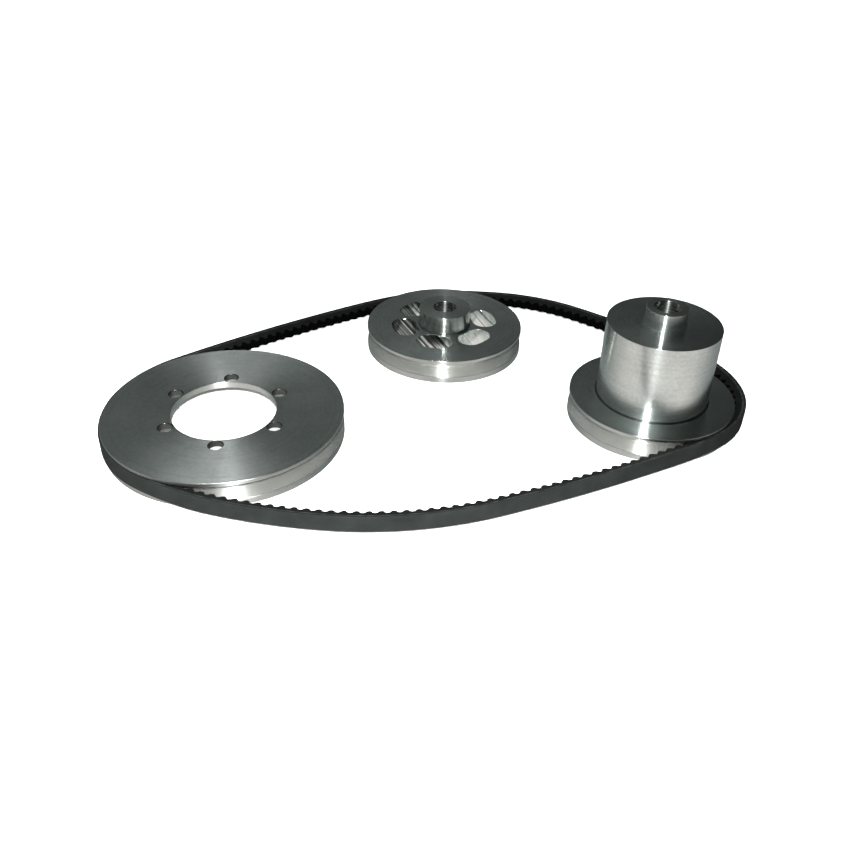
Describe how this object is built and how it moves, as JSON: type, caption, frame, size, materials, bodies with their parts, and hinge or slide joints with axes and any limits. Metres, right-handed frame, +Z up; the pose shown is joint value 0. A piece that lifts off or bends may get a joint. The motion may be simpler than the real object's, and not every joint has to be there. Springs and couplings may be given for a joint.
{
  "type": "cogged v-belt drive set",
  "caption": "Raw-edge cogged V-belt laid as a loop round a bolt-on ring pulley, a hubbed pulley with slots and a deep drum pulley, all turned from aluminium.",
  "frame": {"origin": "middle of the base of the whole set's box, on the surface that the pulleys lie on", "axes": "+Z up along the pulleys' axes; +X from the ring pulley's axis to the drum pulley's axis, the set's longest extent"},
  "size_m": [0.3842, 0.2508, 0.074],
  "materials": {
    "belt_back": "matt black rubber with a faint fabric print",
    "belt_cord": "twisted polyester cord",
    "belt_gum": "cut black rubber",
    "belt_body": "cut and ground black rubber with short fibres",
    "ring_aluminium": "fine turned, bare",
    "hub_aluminium": "fine turned, bare",
    "drum_aluminium": "fine turned, bare"
  },
  "bodies": {
    "belt": {"belt_back_cover": "belt_back", "belt_tension_cords": "belt_cord", "belt_cushion": "belt_gum", "belt_cogged_rubber": "belt_body"},
    "ring": {"ring_pulley": "ring_aluminium"},
    "hub": {"hub_pulley_rim": "hub_aluminium", "hub_pulley_hub": "hub_aluminium"},
    "drum": {"drum_pulley_rim": "drum_aluminium", "drum_pulley_drum": "drum_aluminium"}
  },
  "joints": [
    {"name": "ring_spin", "type": "hinge", "parent": "belt", "child": "ring", "pos_m": [-0.122, -0.02563, 0.009], "axis": [0, 0, 1], "continuous": true},
    {"name": "hub_spin", "type": "hinge", "parent": "belt", "child": "hub", "pos_m": [0.018, 0.07137, 0.009], "axis": [0, 0, 1], "continuous": true},
    {"name": "drum_spin", "type": "hinge", "parent": "belt", "child": "drum", "pos_m": [0.132, -0.02563, 0.009], "axis": [0, 0, 1], "continuous": true}
  ],
  "couplings": [
    {"joint": "ring_spin", "follows": "drum_spin", "ratio": 0.70631},
    {"joint": "hub_spin", "follows": "drum_spin", "ratio": 0.94129}
  ]
}
